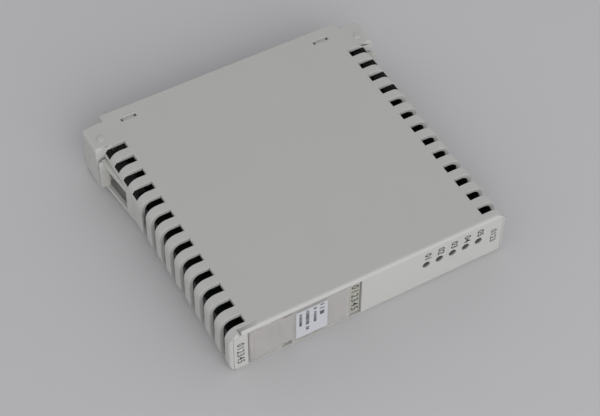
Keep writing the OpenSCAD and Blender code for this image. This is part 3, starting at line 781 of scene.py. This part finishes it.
# --- Chips --------------------------------------------------------------------------------------
# Moulded epoxy bodies with a pin-one dimple, on tinned gull-wing legs along two sides.
chip_epoxy = material("chip_epoxy", (0.02, 0.02, 0.022), 0.55, grain=0.5, grain_size=0.15 * MM)
pale_epoxy = material("pale_epoxy", (0.55, 0.53, 0.46), 0.5, grain=0.3)
tin = material("tin", (0.7, 0.7, 0.69), 0.35, metallic=1.0)
LEG_OUT, LEG_W, LEG_T = 1.0 * MM, 0.4 * MM, 0.12 * MM
STAND_OFF = 0.2 * MM
DIMPLE_R, DIMPLE_DEPTH = 0.45 * MM, 0.1 * MM


def gull_leg(height):
    """One leg along +X that leaves a chip at half its height, turns down, and ends on the board."""
    line = [(0, height), (0.35 * LEG_OUT, height), (0.55 * LEG_OUT, LEG_T), (LEG_OUT, LEG_T)]
    outline = line + [(x - (LEG_T if 0 < x < LEG_OUT else 0) * 0.6, z - LEG_T)
                      for x, z in reversed(line)]
    mesh = bpy.data.meshes.new("leg")
    bm = bmesh.new()
    face = bm.faces.new([bm.verts.new((x, -LEG_W / 2, z)) for x, z in outline])
    grown = bmesh.ops.extrude_face_region(bm, geom=[face])["geom"]
    corners = [v for v in grown if isinstance(v, bmesh.types.BMVert)]
    bmesh.ops.translate(bm, vec=(0, LEG_W, 0), verts=corners)
    bmesh.ops.recalc_face_normals(bm, faces=bm.faces)
    bm.to_mesh(mesh)
    bm.free()
    return mesh


def chip(name, low, high, legs, epoxy):
    """A chip's body and its legs, within the box from low to high."""
    size = high - low
    body_w, body_h = size.x - 2 * LEG_OUT, size.z - STAND_OFF
    middle = (low + high) / 2
    body = linked(name + "_body", block("body", body_w, size.y, body_h, 0.12 * MM))
    body.data.transform(Matrix.Translation((middle.x, middle.y, low.z + STAND_OFF + body_h / 2)))
    dimple = linked("dimple", turned("dimple", [
        (0, -DIMPLE_DEPTH), (DIMPLE_R, -DIMPLE_DEPTH), (DIMPLE_R, MM), (0, MM)], 24))
    dimple.data.transform(Matrix.Translation((middle.x - body_w / 2 + MM, high.y - MM, high.z)))
    applied(body, "BOOLEAN", operation="DIFFERENCE", object=dimple)
    bpy.data.objects.remove(dimple)
    body.data.materials.clear()
    body.data.materials.append(epoxy)
    first_leg = (middle.x + body_w / 2, middle.y - (legs - 1) / 2 * size.y / legs, low.z)
    leg_rows = repeated(name + "_legs", gull_leg(STAND_OFF + body_h / 2), tin, Start=first_leg,
                        Count=legs, Step=(0, size.y / legs, 0), Rows=2,
                        **{"Row step": (-body_w, 0, 0), "Row turn": math.pi})
    return [body, leg_rows]


CHIPS = (("processor", 12, chip_epoxy), ("memory_chips", 10, chip_epoxy),
         ("bus_transceivers", 4, chip_epoxy), ("optocouplers", 2, pale_epoxy))
for node, legs, epoxy in CHIPS:
    made = []
    for number, (low, high) in enumerate(solids_of(node)):
        made += chip(f"{node}_{number}", low, high, legs, epoxy)
    stand_for(shaded(joined(node + "_made", made), 35), node)

# --- Power parts --------------------------------------------------------------------------------
# A potted converter in a black box, two aluminium can capacitors with a crimped foot and a sunken top,
# a ferrite bobbin wound with copper wire, and a glass fuse between two spring clips.
converter = moulded_copy("power_converter", 0.5 * MM, segments=3)
converter.data.materials.append(black_moulding)
stand_for(converter, "power_converter")

can = material("can_aluminium", (0.72, 0.73, 0.75), 0.3, metallic=1.0, grain=0.15, grain_size=0.1 * MM)
CAN_ROUND, CAN_SUNK = 0.35 * MM, 0.12 * MM
cans = []
for number, (low, high) in enumerate(solids_of("smoothing_capacitors")):
    r, h = (high.x - low.x) / 2, high.z - low.z
    mesh = turned(f"can_{number}", [
        (0, 0), (r * 0.9, 0), (r, 0.3 * MM), (r, 1.2 * MM), (r * 0.93, 1.5 * MM), (r, 1.8 * MM),
        (r, h - CAN_ROUND), (r - CAN_ROUND, h), (r * 0.75, h), (r * 0.72, h - CAN_SUNK),
        (0, h - CAN_SUNK)])
    mesh.transform(Matrix.Translation(((low.x + high.x) / 2, (low.y + high.y) / 2, low.z)))
    mesh.materials.append(can)
    cans.append(linked(f"can_{number}", mesh))
capacitors = joined("smoothing_capacitors_made", cans)
stand_for(shaded(capacitors, 30), "smoothing_capacitors")

ferrite = material("ferrite", (0.03, 0.028, 0.028), 0.6, grain=0.5)
copper = material("enamelled_copper", (0.55, 0.22, 0.09), 0.3, metallic=0.9)
low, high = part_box("filter_inductor")
bobbin_r, bobbin_h, core_r = (high.x - low.x) / 2, high.z - low.z, 2.6 * MM
FLANGE, WIRE, WINDING_R = 0.8 * MM, 0.4 * MM, 3.3 * MM
middle = Matrix.Translation(((low.x + high.x) / 2, (low.y + high.y) / 2, low.z))
bobbin = linked("bobbin", turned("bobbin", [
    (0, 0), (bobbin_r, 0), (bobbin_r, FLANGE), (core_r, FLANGE), (core_r, bobbin_h - FLANGE),
    (bobbin_r, bobbin_h - FLANGE), (bobbin_r, bobbin_h), (0, bobbin_h)]))
bobbin.data.materials.append(ferrite)
turns = int((bobbin_h - 2 * FLANGE) / WIRE)
winding_profile = [(0, FLANGE)]
for turn in range(turns):
    z = FLANGE + (turn + 0.5) * WIRE
    winding_profile += [(WINDING_R + WIRE / 2 * math.cos(a), z + WIRE / 2 * math.sin(a))
                        for a in (-math.pi / 2, -math.pi / 4, 0, math.pi / 4, math.pi / 2)]
winding_profile += [(0, FLANGE + turns * WIRE)]
winding = linked("winding", turned("winding", winding_profile))
winding.data.materials.append(copper)
for piece in (bobbin, winding):
    piece.data.transform(middle)
inductor = joined("filter_inductor_made", [bobbin, winding])
stand_for(shaded(inductor, 50), "filter_inductor")

crystal = moulded_copy("clock_crystal", 0.25 * MM, segments=3)
crystal.data.materials.append(bright_steel)
stand_for(crystal, "clock_crystal")

glass = material("fuse_glass", (0.8, 0.82, 0.8), 0.08, tint=0.01)
glass.node_tree.nodes["Principled BSDF"].inputs["Transmission Weight"].default_value = 0.85
low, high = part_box("board_fuse")
FUSE_R, CAP_L, CAP_ROUND = 1.6 * MM, 2.2 * MM, 0.2 * MM
CLIP_W, CLIP_D, CLIP_H, CLIP_IN = 2 * MM, 4 * MM, 2.2 * MM, 0.5 * MM
tube_r = FUSE_R * 0.93
fuse_l = high.x - low.x
lie_down = (Matrix.Translation((low.x, (low.y + high.y) / 2, high.z - FUSE_R))
            @ Matrix.Rotation(math.radians(90), 4, "Y"))
tube = linked("tube", turned("tube", [
    (0, CAP_L), (tube_r, CAP_L), (tube_r, fuse_l - CAP_L), (0, fuse_l - CAP_L)]))
tube.data.materials.append(glass)
fuse_pieces = [tube]
for end, side in ((0, 1), (fuse_l, -1)):
    cap = linked("cap", turned("cap", [
        (0, end), (FUSE_R - CAP_ROUND, end), (FUSE_R, end + side * CAP_ROUND),
        (FUSE_R, end + side * CAP_L), (0, end + side * CAP_L)]))
    cap.data.materials.append(bright_steel)
    fuse_pieces.append(cap)
for piece in fuse_pieces:
    piece.data.transform(lie_down)
for clip_x in (low.x + CLIP_IN + CLIP_W / 2, high.x - CLIP_IN - CLIP_W / 2):
    clip = linked("clip", block("clip", CLIP_W, CLIP_D, CLIP_H, 0.2 * MM))
    clip.data.transform(Matrix.Translation((clip_x, (low.y + high.y) / 2, low.z + CLIP_H / 2)))
    clip.data.materials.append(tin)
    fuse_pieces.append(clip)
stand_for(shaded(joined("board_fuse_made", fuse_pieces), 35), "board_fuse")

# --- Small surface-mount parts ------------------------------------------------------------------
# Thick-film resistors with tinned ends, and tan ceramic capacitors, in two rows.
ceramic = material("ceramic", (0.42, 0.30, 0.18), 0.5)
groups = {}
for low, high in solids_of("chip_resistors"):
    groups.setdefault(round((high.z - low.z) / MM, 1), []).append((low, high))

# The resistors are lower than this, in millimetres, and the capacitors stand taller.
TALLEST_RESISTOR = 0.7
small_parts = []
for height, solids in sorted(groups.items()):
    low, high = solids[0]
    size, start, step = high - low, (low + high) / 2, solids[1][0].x - solids[0][0].x
    rows = dict(Count=len(solids), Step=(step, 0, 0))
    middle = block("middle", size.x * 0.96, size.y * 0.62, size.z * 0.94, 0.03 * MM)
    finish = chip_epoxy if height < TALLEST_RESISTOR else ceramic
    small_parts.append(repeated("middles", middle, finish, Start=tuple(start), **rows))
    for side in (-1, 1):
        end = block("end", size.x, size.y * 0.2, size.z, 0.05 * MM)
        place = start + Vector((0, side * size.y * 0.4, 0))
        small_parts.append(repeated("ends", end, tin, Start=tuple(place), **rows))
stand_for(shaded(joined("chip_resistors_made", small_parts), 40), "chip_resistors")
